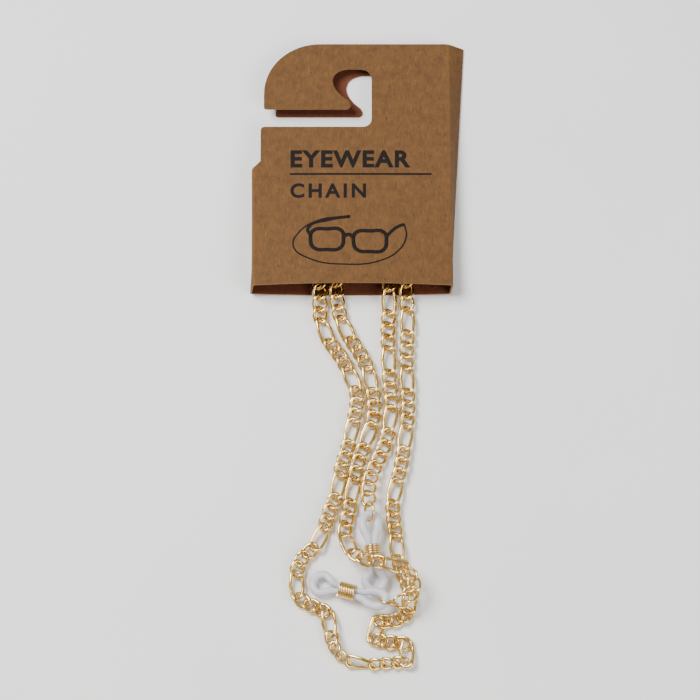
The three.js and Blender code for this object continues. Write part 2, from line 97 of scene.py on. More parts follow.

# %% [markdown]
# ## The chain's route
# The chain runs from the upper grip up into the sleeve, turns round in there, comes out, drops
# to the lowest loop, climbs back into the sleeve, turns again and comes out to the lower grip.
# These are the same points as in the solid model, in metres.

# %% Route
ROUTE = {
    "chain_run_1": [
        (0.0114, -0.1008, 0.00565), (0.0092, -0.1002, 0.00605), (0.0064, -0.0999, 0.00625),
        (0.0034, -0.0994, 0.0062), (0.0008, -0.0983, 0.0055), (-0.0014, -0.096, 0.004),
        (-0.0029, -0.0928, 0.0023), (-0.003, -0.0898, 0.00125), (-0.0024, -0.087, 0.001),
        (-0.0016, -0.0833, 0.001), (-0.001, -0.0792, 0.001), (-0.0003, -0.0756, 0.001),
        (0.0003, -0.072, 0.001), (0.0016, -0.0681, 0.001), (0.0034, -0.0637, 0.001),
        (0.0043, -0.0601, 0.001), (0.0047, -0.0565, 0.001), (0.0045, -0.0532, 0.001),
        (0.0036, -0.0482, 0.001), (0.0026, -0.0443, 0.001), (0.0008, -0.041, 0.001),
        (-0.0016, -0.0374, 0.001), (-0.0032, -0.0344, 0.001), (-0.0044, -0.03, 0.0011),
        (-0.0051, -0.027, 0.0019),
    ],
    "chain_fold_1": [
        (-0.0051, -0.0264, 0.002), (-0.0052, -0.0235, 0.0022), (-0.0051, -0.018, 0.002),
        (-0.0047, -0.0125, 0.0021), (-0.0038, -0.007, 0.00215), (-0.0026, -0.0014, 0.00215),
        (-0.0016, 0.0041, 0.00215), (-0.0016, 0.0096, 0.00215), (-0.0039, 0.0143, 0.00215),
        (-0.0073, 0.016, 0.00215), (-0.0109, 0.0143, 0.00215), (-0.0133, 0.0096, 0.00215),
        (-0.0133, 0.0041, 0.00215), (-0.0121, -0.0014, 0.00215), (-0.0109, -0.007, 0.00215),
        (-0.0101, -0.0125, 0.0021), (-0.0097, -0.018, 0.002), (-0.0095, -0.0235, 0.0022),
        (-0.0095, -0.0264, 0.002),
    ],
    "chain_run_2": [
        (-0.0095, -0.027, 0.0019), (-0.0095, -0.03, 0.0011), (-0.0088, -0.0344, 0.001),
        (-0.0073, -0.0377, 0.001), (-0.0052, -0.0407, 0.001), (-0.0032, -0.0435, 0.001),
        (-0.0018, -0.0468, 0.001), (-0.0003, -0.0502, 0.001), (0.0004, -0.0532, 0.001),
        (0, -0.0565, 0.001), (-0.0008, -0.0609, 0.001), (-0.0017, -0.0656, 0.001),
        (-0.0027, -0.0692, 0.001), (-0.0039, -0.0726, 0.001), (-0.0042, -0.0762, 0.001),
        (-0.0049, -0.08, 0.001), (-0.0065, -0.0833, 0.001), (-0.0075, -0.0869, 0.001),
        (-0.0088, -0.0911, 0.001), (-0.0105, -0.0944, 0.001), (-0.0131, -0.0963, 0.001),
        (-0.015, -0.0991, 0.001), (-0.0153, -0.1041, 0.001), (-0.0151, -0.1074, 0.001),
        (-0.0127, -0.1095, 0.001), (-0.0096, -0.1106, 0.001), (-0.0073, -0.1118, 0.001),
        (-0.0065, -0.1146, 0.001), (-0.0065, -0.1174, 0.001),
    ],
    "chain_run_3": [
        (-0.0064, -0.118, 0.001), (-0.0052, -0.1223, 0.001), (-0.0016, -0.1251, 0.001),
        (0.0031, -0.1259, 0.001), (0.0083, -0.1254, 0.001), (0.0122, -0.1254, 0.001),
        (0.0144, -0.123, 0.001), (0.0133, -0.1203, 0.001), (0.0094, -0.1198, 0.001),
        (0.0052, -0.1194, 0.001), (0.0032, -0.1168, 0.001), (0.0047, -0.1144, 0.001),
        (0.0083, -0.1142, 0.001), (0.0117, -0.1134, 0.001), (0.0139, -0.1107, 0.001),
        (0.014, -0.1071, 0.001), (0.0127, -0.1033, 0.001), (0.0113, -0.0999, 0.001),
        (0.0107, -0.0966, 0.001), (0.0104, -0.0933, 0.001), (0.0099, -0.0894, 0.001),
        (0.0095, -0.0856, 0.001), (0.0094, -0.082, 0.001), (0.0098, -0.0784, 0.001),
        (0.0111, -0.0748, 0.001), (0.0118, -0.0714, 0.001), (0.0123, -0.0673, 0.001),
        (0.0129, -0.0634, 0.001), (0.0133, -0.0598, 0.001), (0.0135, -0.056, 0.001),
        (0.0134, -0.0521, 0.001), (0.0131, -0.0477, 0.001), (0.0131, -0.0432, 0.001),
        (0.0133, -0.0388, 0.001), (0.0135, -0.0338, 0.001), (0.0134, -0.03, 0.0011),
        (0.0131, -0.027, 0.0019),
    ],
    "chain_fold_2": [
        (0.0131, -0.0264, 0.002), (0.0131, -0.0235, 0.0022), (0.0132, -0.018, 0.002),
        (0.0136, -0.0125, 0.0021), (0.0145, -0.007, 0.00215), (0.0157, -0.0014, 0.00215),
        (0.0166, 0.0041, 0.00215), (0.0166, 0.0096, 0.00215), (0.0143, 0.0143, 0.00215),
        (0.0109, 0.016, 0.00215), (0.0073, 0.0143, 0.00215), (0.0049, 0.0096, 0.00215),
        (0.0049, 0.0041, 0.00215), (0.006, -0.0014, 0.00215), (0.0072, -0.007, 0.00215),
        (0.0081, -0.0125, 0.0021), (0.0085, -0.018, 0.002), (0.0086, -0.0235, 0.0022),
        (0.0086, -0.0264, 0.002),
    ],
    "chain_run_4": [
        (0.0086, -0.027, 0.0019), (0.0086, -0.03, 0.0011), (0.0083, -0.0341, 0.001),
        (0.0083, -0.0383, 0.001), (0.0085, -0.0427, 0.001), (0.0086, -0.0471, 0.001),
        (0.0088, -0.051, 0.001), (0.0092, -0.0549, 0.001), (0.009, -0.059, 0.001),
        (0.0083, -0.0629, 0.001), (0.0077, -0.0659, 0.001), (0.0068, -0.0682, 0.001),
        (0.0058, -0.0704, 0.0011),
    ],
}

# %% [markdown]
# A smooth line through the points is drawn with a centripetal spline, which never overshoots
# at uneven spacing. Measuring along it tells where each link goes.

# %% A smooth line through points, and a place along it
SPAN_STEPS = 16


def smooth_line(points):
    """A centripetal spline through the points, as a list of close points."""
    ends = [points[0] * 2 - points[1], *points, points[-1] * 2 - points[-2]]
    line = []
    for p0, p1, p2, p3 in zip(ends, ends[1:], ends[2:], ends[3:]):
        t1 = (p1 - p0).length ** 0.5
        t2 = t1 + (p2 - p1).length ** 0.5
        t3 = t2 + (p3 - p2).length ** 0.5
        for step in range(SPAN_STEPS):
            t = t1 + (t2 - t1) * step / SPAN_STEPS
            a1 = p0.lerp(p1, t / t1)
            a2 = p1.lerp(p2, (t - t1) / (t2 - t1))
            a3 = p2.lerp(p3, (t - t2) / (t3 - t2))
            b1 = a1.lerp(a2, t / t2)
            b2 = a2.lerp(a3, (t - t1) / (t3 - t1))
            line.append(b1.lerp(b2, (t - t1) / (t2 - t1)))
    return line + [points[-1]]


def running_length(line):
    total, out = 0.0, [0.0]
    for a, b in zip(line, line[1:]):
        total += (b - a).length
        out.append(total)
    return out


def place_at(line, lengths, distance):
    """The point at a distance along the line, which runs straight on past its ends."""
    last = len(line) - 2
    i = min(max(0, next((k for k, s in enumerate(lengths) if s > distance), last + 1) - 1), last)
    share = (distance - lengths[i]) / (lengths[i + 1] - lengths[i])
    return line[i].lerp(line[i + 1], share)


chain_line = smooth_line([Vector(p) for run in ROUTE.values() for p in run])
chain_lengths = running_length(chain_line)
print("chain between the end links:", round(chain_lengths[-1], 4), "m")

# %% [markdown]
# ## Shared tools
# Everything that follows is modelled as by hand. These helpers clear the selection, select by
# place, and fix a finished piece's place into its mesh, so that its object stays at the origin.

# %% Selection and placing
def clear_selection():
    if bpy.context.object and bpy.context.object.mode != "OBJECT":
        bpy.ops.object.mode_set(mode="OBJECT")
    bpy.ops.object.select_all(action="DESELECT")


def take(piece):
    clear_selection()
    piece.select_set(True)
    bpy.context.view_layer.objects.active = piece
    return piece


def edit_points(piece, chosen):
    """Goes into edit mode with the chosen vertices selected."""
    take(piece)
    bpy.ops.object.mode_set(mode="EDIT")
    bpy.ops.mesh.select_mode(type="VERT")
    bpy.ops.mesh.select_all(action="DESELECT")
    bpy.ops.object.mode_set(mode="OBJECT")
    for vertex in piece.data.vertices:
        vertex.select = bool(chosen(vertex.co))
    bpy.ops.object.mode_set(mode="EDIT")


def edit_all(piece):
    """Goes into edit mode with everything selected."""
    take(piece)
    bpy.ops.object.mode_set(mode="EDIT")
    bpy.ops.mesh.select_all(action="SELECT")


def face_outward(piece):
    edit_all(piece)
    bpy.ops.mesh.normals_make_consistent(inside=False)
    bpy.ops.object.mode_set(mode="OBJECT")
    return piece


def fix_place(piece, place=None):
    """Moves the piece by a matrix and writes that place into its mesh."""
    take(piece)
    if place is not None:
        piece.matrix_world = place
    bpy.ops.object.transform_apply(location=True, rotation=True, scale=True)
    return piece


def apply_modifiers(piece):
    take(piece)
    for modifier in list(piece.modifiers):
        bpy.ops.object.modifier_apply(modifier=modifier.name)


def named(piece, name):
    piece.name = name
    piece.data.name = name
    return piece


def copy_of(piece, name):
    twin = piece.copy()
    twin.data = piece.data.copy()
    bpy.context.scene.collection.objects.link(twin)
    return named(twin, name)


def join_all(pieces, name):
    clear_selection()
    for piece in pieces:
        piece.select_set(True)
    bpy.context.view_layer.objects.active = pieces[0]
    bpy.ops.object.join()
    return named(bpy.context.object, name)


# %% [markdown]
# ## Materials: a small add-node tool
# Colours are written as on a paint card, in sRGB hex, and turned to linear light. One function
# adds a node with its settings and its inputs; an input that is a socket becomes a link.

# %% Colour and node tools
def colour(text):
    shares = [int(text[i : i + 2], 16) / 255 for i in (1, 3, 5)]
    linear = [s / 12.92 if s <= 0.04045 else ((s + 0.055) / 1.055) ** 2.4 for s in shares]
    return (*linear, 1.0)


def add_node(material, kind, inputs=None, **settings):
    node = material.node_tree.nodes.new(kind)
    for key, value in settings.items():
        setattr(node, key, value)
    for key, value in (inputs or {}).items():
        if isinstance(value, bpy.types.NodeSocket):
            material.node_tree.links.new(value, node.inputs[key])
        else:
            node.inputs[key].default_value = value
    return node


def new_material(name):
    """An empty material, and the object coordinates that its patterns follow."""
    material = bpy.data.materials.new(name)
    material.use_nodes = True
    material.node_tree.nodes.clear()
    return material, add_node(material, "ShaderNodeTexCoord").outputs["Object"]


def finish_surface(material, shader):
    add_node(material, "ShaderNodeOutputMaterial", {"Surface": shader.outputs["BSDF"]})
    return material


def per_mm(size_mm):
    """The scale of a noise whose features are about this many millimetres across."""
    return 1 / (size_mm * MM)


def mottle(material, place, size_mm, noise, *stops):
    """A colour that wanders between two stops, (position, hex), in patches of about a size."""
    inputs = {"Vector": place, "Scale": per_mm(size_mm), **noise}
    patch = add_node(material, "ShaderNodeTexNoise", inputs)
    ramp = add_node(material, "ShaderNodeValToRGB", {"Fac": patch.outputs["Fac"]})
    for element, (position, text) in zip(ramp.color_ramp.elements, stops):
        element.position = position
        element.color = colour(text)
    return ramp.outputs["Color"]


# %% [markdown]
# ### Gold plating
# The chain, rings and coils are brass wire, tumbled smooth and plated with a pale yellow gold.
# Such plating is a bright metal: its colour is its reflection's colour, deep orange where one
# link reflects another. Tumbling leaves it just short of a mirror, with slight waviness about
# 0.4 mm across, and the plating's thickness varies, so it is paler or deeper in patches about
# 3 mm across.

# %% Gold plating
def gold_plating():
    material, place = new_material("gold_plated_brass")
    tint = mottle(material, place, 3.0, {"Detail": 2.0}, (0.3, GOLD_DEEP), (0.7, GOLD_PALE))
    rub = add_node(
        material,
        "ShaderNodeTexNoise",
        {"Vector": place, "Scale": per_mm(0.8), "Detail": 3.0},
    )
    rough = add_node(
        material,
        "ShaderNodeMapRange",
        {"Value": rub.outputs["Fac"], "To Min": 0.14, "To Max": 0.30},
    )
    wave = add_node(
        material,
        "ShaderNodeTexNoise",
        {"Vector": place, "Scale": per_mm(0.4), "Detail": 1.0},
    )
    bump = add_node(
        material,
        "ShaderNodeBump",
        {"Height": wave.outputs["Fac"], "Strength": 0.25, "Distance": 0.03 * MM},
    )
    shader = add_node(
        material,
        "ShaderNodeBsdfPrincipled",
        {
            "Base Color": tint,
            "Metallic": 1.0,
            "Roughness": rough.outputs["Result"],
            "Normal": bump.outputs["Normal"],
        },
    )
    return finish_surface(material, shader)


GOLD_PALE = "#F4D794"
GOLD_DEEP = "#E1B85E"
gold = gold_plating()
print("made", gold.name)

# %% [markdown]
# ## One chain link
# A curb link is a ring of round wire, pressed longer than it is wide and twisted about its
# length, so that the next link can pass through it and both lie flat. A torus is a ring of round
# wire already: its two halves are pulled apart, and a twist modifier gives the twist. There are
# nearly a hundred and fifty links, so the ones in the strands get only a few dozen faces; the
# eight that end the chain are drawn finer. A six-sided wire looks thinner than a round one, so
# it is drawn thicker than the real wire.

# %% Link maker
WIRE = 0.75 * MM
STRAND_WIRE = 1.0 * MM
FINE_WIRE = 0.8 * MM
LINK_HALF_WIDTH = 1.66 * MM
SHORT_HALF_LENGTH = 2.2 * MM
LONG_HALF_LENGTH = 3.75 * MM
LINK_TWIST = math.radians(36)
MIDDLE = 0.05 * MM  # points nearer than this to the link's middle stay where they are


def make_link(name, half_length, around, section, wire):
    clear_selection()
    bpy.ops.mesh.primitive_torus_add(
        major_segments=around,
        minor_segments=section,
        major_radius=LINK_HALF_WIDTH,
        minor_radius=wire / 2,
    )
    link = fix_place(named(bpy.context.object, name))
    pull = half_length - LINK_HALF_WIDTH
    for side in (1, -1):
        edit_points(link, lambda co: co.x * side > MIDDLE)
        bpy.ops.transform.translate(value=(side * pull, 0, 0))
        bpy.ops.object.mode_set(mode="OBJECT")
    twist = link.modifiers.new("twist", "SIMPLE_DEFORM")
    twist.deform_method = "TWIST"
    twist.deform_axis = "X"
    twist.angle = 2 * LINK_TWIST * (half_length + WIRE / 2) / half_length
    apply_modifiers(link)
    bpy.ops.object.shade_smooth()
    link.data.materials.append(gold)
    return link


short_link = make_link("short_link", SHORT_HALF_LENGTH, 12, 6, STRAND_WIRE)
long_link = make_link("long_link", LONG_HALF_LENGTH, 16, 6, STRAND_WIRE)
fine_link = make_link("fine_link", SHORT_HALF_LENGTH, 28, 10, FINE_WIRE)
print("faces per link:", len(short_link.data.polygons), len(long_link.data.polygons))

# %% [markdown]
# ## Laying the links along the route
# The pattern is three short links and one long one. Where the chain lies bunched up, its links
# slide together and a whole pattern takes less room than where it hangs straight. Each link is
# turned to point from where it starts to where it ends, keeps its broad side up, rolls a few
# degrees as loose links do, and is lifted until it rests on the table.

# %% Where each link goes
# How many patterns follow one another at each length.
PATTERNS = [(12, 15.6 * MM), (13, 15.04 * MM), (2, 16.05 * MM), (8, 16.36 * MM), (1, 15.9 * MM)]
FIRST_LONG_LINK = 1.73 * MM
# The lowest stretch of the chain has tipped over and lies on its edge, like a rope.
ROPE_MIDDLE = chain_lengths[min(range(len(chain_line)), key=lambda i: chain_line[i].y)]
ROPE_REACH = 15 * MM
EDGE_ROLL = math.radians(66)
ROLL_WAVES = [(9, 0.37, 0), (4, 1.13, 1)]  # most degrees, radians per link, start
LINK_KINDS = {
    "short": (short_link, SHORT_HALF_LENGTH),
    "long": (long_link, LONG_HALF_LENGTH),
}
AIM_SHARE = 0.8  # of a link's half length, to the two points that it is aimed by
SHARES = [(0.0, "long"), (0.2975, "short"), (0.5, "short"), (0.7025, "short")]
TABLE_GAP = 0.03 * MM


def chain_pattern():
    """(distance along the chain, kind) of every link."""
    links = []
    start = FIRST_LONG_LINK
    for count, length in PATTERNS:
        for _ in range(count):
            links += [(start + share * length, kind) for share, kind in SHARES]
            start += length
    return links


def link_roll(index, distance):
    """Loose links never lie quite level. Two slow waves look random and repeat every run."""
    slack = sum(most * math.sin(rate * index + start) for most, rate, start in ROLL_WAVES)
    on_edge = max(0.0, 1 - abs(distance - ROPE_MIDDLE) / ROPE_REACH)
    return math.radians(slack) + EDGE_ROLL * min(1.0, 2 * on_edge)


def aimed(centre, ahead, roll):
    """A frame at a centre with X ahead, its broad side level, then rolled about X."""
    side = Vector((-ahead.y, ahead.x, 0)).normalized()
    up = ahead.cross(side)
    turn = Matrix((ahead, side, up)).transposed().to_4x4()
    return Matrix.Translation(centre) @ turn @ Matrix.Rotation(roll, 4, "X")


def lay_links(name, first, last):
    """Copies of the links from one distance along the chain to another, joined into a strand."""
    copies = []
    for index, (distance, kind) in enumerate(chain_pattern()):
        if not first <= distance < last:
            continue
        pattern, half_length = LINK_KINDS[kind]
        behind = place_at(chain_line, chain_lengths, distance - half_length * AIM_SHARE)
        ahead = place_at(chain_line, chain_lengths, distance + half_length * AIM_SHARE)
        roll = link_roll(index, distance)
        place = aimed((behind + ahead) / 2, (ahead - behind).normalized(), roll)
        lowest = min((place @ v.co).z for v in pattern.data.vertices)
        lift = max(0.0, TABLE_GAP - lowest)
        copy = copy_of(pattern, f"{name}_{index}")
        copy.matrix_world = Matrix.Translation((0, 0, lift)) @ place
        copies.append(copy)
    count = len(copies)
    strand = fix_place(join_all(copies, name))
    print(name, count, "links,", len(strand.data.polygons), "faces")
    return strand


# %% [markdown]
# The one chain is made as three strands, because each has its own way out of the sleeve. They
# meet, link to link, at the two turns that the sleeve hides.

# %% Three strands
def distance_to(run, index):
    target = Vector(ROUTE[run][index])
    nearest = min(range(len(chain_line)), key=lambda i: (chain_line[i] - target).length)
    return chain_lengths[nearest], nearest


FOLD_TIP = 9
turn_1, turn_1_index = distance_to("chain_fold_1", FOLD_TIP)
turn_2, turn_2_index = distance_to("chain_fold_2", FOLD_TIP)
upper_strand = lay_links("upper_strand", 0, turn_1)
middle_strand = lay_links("middle_strand", turn_1, turn_2)
lower_strand = lay_links("lower_strand", turn_2, chain_lengths[-1] + WIRE)

# %% [markdown]
# ## The ends of the chain
# Past the end of each strand come four more short links, a jump ring and the grip. They are set
# out one after the other from the strand's last point, along the same headings and slopes as in
# the solid model.

# %% Where the end pieces are
GAP = 0.3 * MM
LINK_PITCH = 3.1 * MM
RING_RADIUS = 2.45 * MM
RING_WIRE = 0.7 * MM
RING_ROLL = math.radians(65)
TUBE = 1.05 * MM
CHAIN_REACH = 10.4 * MM
ENDS = {
    "a": {
        "start": Vector(ROUTE["chain_run_1"][0]),
        "links": [(-45, -2), (-85, -2), (-125, -2), (-165, -2)],
        "grip": (161, -10.1),
    },
    "b": {
        "start": Vector(ROUTE["chain_run_4"][-1]),
        "links": [(-112, 10), (-104, 14), (-95, 13), (-89, 12)],
        "grip": (-85.6, -6.4),
    },
}


def direction(heading, slope):
    h, s = math.radians(heading), math.radians(slope)
    return Vector((math.cos(s) * math.cos(h), math.cos(s) * math.sin(h), math.sin(s)))


def set_out(end):
    """Places of the four links, the ring and the coil's middle, each a 4x4 matrix."""
    centre = end["start"].copy()
    links, before = [], None
    for heading, slope in end["links"]:
        ahead = direction(heading, slope)
        if before is None:
            centre = centre + ahead * (GAP + WIRE / 2 + SHORT_HALF_LENGTH)
        else:
            centre = centre + (before + ahead) * (LINK_PITCH / 2)
        links.append(aimed(centre, ahead, 0))
        before = ahead
    grip_aim = direction(*end["grip"])
    inside = RING_RADIUS - RING_WIRE / 2
    ring = centre + before * SHORT_HALF_LENGTH + grip_aim * (inside - GAP - WIRE / 2)
    coil = ring + grip_aim * (inside - GAP - TUBE + CHAIN_REACH)
    return links, aimed(ring, grip_aim, RING_ROLL), aimed(coil, grip_aim, 0)


print("lower coil's middle:", [round(x, 4) for x in set_out(ENDS["b"])[2].translation])

# %% [markdown]
# ### Jump ring
# A jump ring is one turn of round wire with its ends pressed together, which leaves a hairline
# seam. A circle of wire is spun nearly all the way round, and the two open ends are filled.

# %% Jump ring maker
CREASE = math.radians(50)


def close_wire(piece):
    """Fills the wire's two cut ends, and gives it its shading and plating."""
    edit_all(piece)
    bpy.ops.mesh.fill_holes(sides=0)
    face_outward(piece)
    bpy.ops.object.shade_smooth_by_angle(angle=CREASE)
    piece.data.materials.append(gold)
    return piece


RING_STEPS = 40
RING_TURN = math.radians(358)


def make_ring():
    clear_selection()
    bpy.ops.mesh.primitive_circle_add(
        vertices=12,
        radius=RING_WIRE / 2,
        location=(0, -RING_RADIUS, 0),
        rotation=(0, math.pi / 2, 0),
    )
    ring = fix_place(named(bpy.context.object, "jump_ring"))
    edit_all(ring)
    bpy.ops.mesh.spin(steps=RING_STEPS, angle=RING_TURN, center=(0, 0, 0), axis=(0, 0, 1))
    return close_wire(ring)


ring_pattern = make_ring()
print("ring faces:", len(ring_pattern.data.polygons))

# %% [markdown]
# ### Coil slider
# The coil is a close-wound spring of the same gold wire. A circle of wire is swept by a screw
# modifier, which turns and moves it at once, and its cut ends are closed. The turns almost
# touch, so the light catches each one.

# %% Coil maker
COIL_WIRE = 0.55 * MM
COIL_RADIUS = 1.835 * MM
COIL_PITCH = 0.62 * MM
COIL_TURNS = 7
COIL_STEPS = 24  # in a turn


def make_coil():
    clear_selection()
    length = COIL_TURNS * COIL_PITCH
    bpy.ops.mesh.primitive_circle_add(
        vertices=10,
        radius=COIL_WIRE / 2,
        location=(-length / 2, COIL_RADIUS, 0),
        rotation=(math.radians(3), 0, 0),
    )
    coil = fix_place(named(bpy.context.object, "coil"))
    screw = coil.modifiers.new("winding", "SCREW")
    screw.axis = "X"
    screw.angle = 2 * math.pi * COIL_TURNS
    screw.screw_offset = length
    screw.steps = screw.render_steps = COIL_STEPS * COIL_TURNS
    screw.use_merge_vertices = False
    apply_modifiers(coil)
    return close_wire(coil)


coil_pattern = make_coil()
print("coil faces:", len(coil_pattern.data.polygons))

# %% [markdown]
# ### Silicone
# The loops are soft clear silicone cord, extruded and a little milky. Light enters it and
# scatters over a millimetre or two, so the loops glow white rather than look like glass. Its
# skin is satin, with faint ripples from the extruder.

# %% Milky silicone
def milky_silicone():
    material, place = new_material("milky_silicone")
    tint = mottle(material, place, 2.5, {"Detail": 2.0}, (0.3, "#D8D7DE"), (0.7, "#EAE9EE"))
    ripple = add_node(
        material,
        "ShaderNodeTexNoise",
        {"Vector": place, "Scale": per_mm(0.5), "Detail": 2.0},
    )
    bump = add_node(
        material,
        "ShaderNodeBump",
        {"Height": ripple.outputs["Fac"], "Strength": 0.2, "Distance": 0.03 * MM},
    )
    shader = add_node(
        material,
        "ShaderNodeBsdfPrincipled",
        {
            "Base Color": tint,
            "Roughness": 0.34,
            "IOR": 1.41,
            "Transmission Weight": 0.25,
            "Subsurface Weight": 0.6,
            "Subsurface Radius": (1.0, 0.95, 0.9),
            "Subsurface Scale": 1.2 * MM,
            "Normal": bump.outputs["Normal"],
        },
    )
    return finish_surface(material, shader)


silicone = milky_silicone()
print("made", silicone.name)

# %% [markdown]
# ### Temple loop
# One piece of silicone cord is bent double and held by the coil. On the temple side it opens to
# a drop shape; on the chain side it makes a longer loop round the jump ring. The coil squeezes
# it thin. It is drawn as a closed curve with a round section whose radius changes along it.

# %% Loop maker
PINCHED = 0.74 / 1.05
# Along the grip and to the side, in millimetres, and the share of full thickness.
HALF_LOOP = [
    (9.35, 0.0, 1.0), (9.0, 1.25, 1.0), (8.0, 2.2, 1.0), (6.9, 2.5, 1.0), (5.7, 2.0, 1.0),
    (4.5, 1.18, 0.92), (3.0, 0.82, 0.76), (0.0, 0.76, PINCHED), (-3.0, 0.82, 0.74),
    (-4.9, 1.18, 0.92), (-6.5, 1.8, 1.03), (-8.8, 1.85, 1.04), (-10.05, 1.15, 1.0),
    (-10.4, 0.0, 1.0),
]  # fmt: skip


def drawn_curve(name, points, closed, **settings):
    """A round cord through (x, y, share of thickness) points in millimetres, made a mesh."""
    curve = bpy.data.curves.new(name, "CURVE")
    curve.dimensions = "3D"
    for key, value in settings.items():
        setattr(curve, key, value)
    spline = curve.splines.new("BEZIER")
    spline.bezier_points.add(len(points) - 1)
    spline.use_cyclic_u = closed
    for knot, (x, y, thickness) in zip(spline.bezier_points, points):
        knot.co = (x * MM, y * MM, 0)
        knot.radius = thickness
        knot.handle_left_type = knot.handle_right_type = "AUTO"
    take(add_object(name, curve))
    bpy.ops.object.convert(target="MESH")
    return named(bpy.context.object, name)


def make_loop():
    around = HALF_LOOP + [(x, -y, t) for x, y, t in reversed(HALF_LOOP[1:-1])]
    round_section = {"bevel_depth": TUBE, "bevel_resolution": 5, "resolution_u": 6}
    loop = drawn_curve("temple_loop", around, True, twist_mode="Z_UP", **round_section)
    bpy.ops.object.shade_smooth()
    loop.data.materials.clear()
    loop.data.materials.append(silicone)
    return loop


loop_pattern = make_loop()
print("loop faces:", len(loop_pattern.data.polygons))

# %% [markdown]
# ### Putting the ends together
# Each piece is a copy with its own mesh, set in place, and rides on the body of the solid that
# it stands for.


def stand_for(piece, node, body):
    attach(piece, body)
    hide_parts(node)
    return piece


def assemble_end(tag):
    links, ring_place, grip_place = set_out(ENDS[tag])
    pieces = []
    for number, place in zip((4, 3, 2, 1), links):
        link = fix_place(copy_of(fine_link, f"end_link_{tag}{number}"), place)
        pieces.append(stand_for(link, f"link_{tag}{number}", f"link_{tag}{number}"))
    ring = fix_place(copy_of(ring_pattern, f"ring_{tag}"), ring_place)
    pieces.append(stand_for(ring, f"jump_ring_{tag}", f"ring_{tag}"))
    coil = fix_place(copy_of(coil_pattern, f"coil_{tag}"), grip_place)
    pieces.append(stand_for(coil, f"coil_slider_{tag}", f"slider_{tag}"))
    loop = fix_place(copy_of(loop_pattern, f"temple_loop_{tag}"), grip_place)
    stand_for(loop, f"silicone_loop_{tag}", f"grip_{tag}")
    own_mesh(loop)
    pieces.append(loop)
    return pieces


upper_end = assemble_end("a")
lower_end = assemble_end("b")
for pattern in (short_link, long_link, fine_link, ring_pattern, coil_pattern, loop_pattern):
    bpy.data.objects.remove(pattern)
print("end pieces:", [piece.name for piece in upper_end + lower_end])

# %% [markdown]
# ### The strands on the strap
# A chain behaves as a limp cord. Each strand rides on the strap's body, and the imported chain
# parts that it stands for are hidden.


def declare_strand(strand, nodes):
    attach(strand, "strap")
    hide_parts(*nodes)


declare_strand(
    upper_strand,
    ["chain_run_1", "chain_fold_1"],
)
declare_strand(
    middle_strand,
    ["chain_run_2", "chain_run_3", "chain_fold_2"],
)
declare_strand(lower_strand, ["chain_run_4"])

# %% [markdown]
# ## Kraft board
# The sleeve is die-cut from uncoated brown board 0.45 mm thick. Kraft is unbleached wood pulp:
# matt, a little mottled where the fibres clump over a millimetre or so, with fine paler fibres
# lying mostly one way and a few dark specks of bark. The real fibres are finer than a render
# can show, so they are drawn about 0.35 mm wide. The board's inside is painted darker and
# redder than its outside, as painted shade of the dim inside of the sleeve. Its cut edges are
# paler, and the folds are rubbed pale where the fibres broke.

# %% Kraft board finish
def kraft_board(name, dark, light, fleck, rubbed):
    material, place = new_material(name)
    clumps = {"Detail": 4.0, "Roughness": 0.65}
    pulp = mottle(material, place, 2.2, clumps, (0.30, dark), (0.72, light))
    along = add_node(
        material, "ShaderNodeMapping", {"Vector": place, "Scale": (1.0, 0.16, 1.0)}
    ).outputs["Vector"]
    fibre = add_node(
        material,
        "ShaderNodeTexNoise",
        {"Vector": along, "Scale": per_mm(0.35), "Detail": 2.0},
    )
    fibre_mask = add_node(
        material,
        "ShaderNodeMapRange",
        {"Value": fibre.outputs["Fac"], "From Min": 0.52, "From Max": 0.78, "To Max": 0.45},
    )
    speck = add_node(
        material,
        "ShaderNodeTexNoise",
        {"Vector": place, "Scale": per_mm(0.7), "Detail": 1.0},
    )
    speck_mask = add_node(
        material,
        "ShaderNodeMapRange",
        {"Value": speck.outputs["Fac"], "From Min": 0.68, "From Max": 0.76, "To Max": 0.7},
    )
    wear = add_node(material, "ShaderNodeAttribute", attribute_name="fold_wear")
    surface = pulp
    for mask, text in (
        (fibre_mask.outputs["Result"], rubbed),
        (speck_mask.outputs["Result"], fleck),
        (wear.outputs["Fac"], rubbed),
    ):
        layer = {"Fac": mask, "Color1": surface, "Color2": colour(text)}
        surface = add_node(material, "ShaderNodeMixRGB", layer).outputs["Color"]
    bump = add_node(
        material,
        "ShaderNodeBump",
        {"Height": fibre.outputs["Fac"], "Strength": 0.35, "Distance": 0.04 * MM},
    )
    shader = add_node(
        material,
        "ShaderNodeBsdfPrincipled",
        {"Base Color": surface, "Roughness": 0.85, "Normal": bump.outputs["Normal"]},
    )
    return finish_surface(material, shader)


board_outside = kraft_board("kraft_board_outside", "#533513", "#68441A", "#321E0C", "#80592A")
# The inside finish is painted darker and redder than the outside: painted shade of the sleeve's
# dim inside.
inner_board_painted_shade = kraft_board("kraft_board_inner_painted_shade", "#57260D", "#663112", "#331608", "#703E1C")
board_edge = kraft_board("kraft_board_cut_edge", "#7E5C35", "#957045", "#5F3F20", "#A98757")
print("made", board_outside.name, inner_board_painted_shade.name, board_edge.name)

# %% [markdown]
# ### The blank
# The sleeve is made like the real one: a flat blank is cut out first and folded afterwards. A
# plane the size of the blank is divided by bisecting it, closely at the folds and loosely
# between them, and solidify gives it the board's thickness.

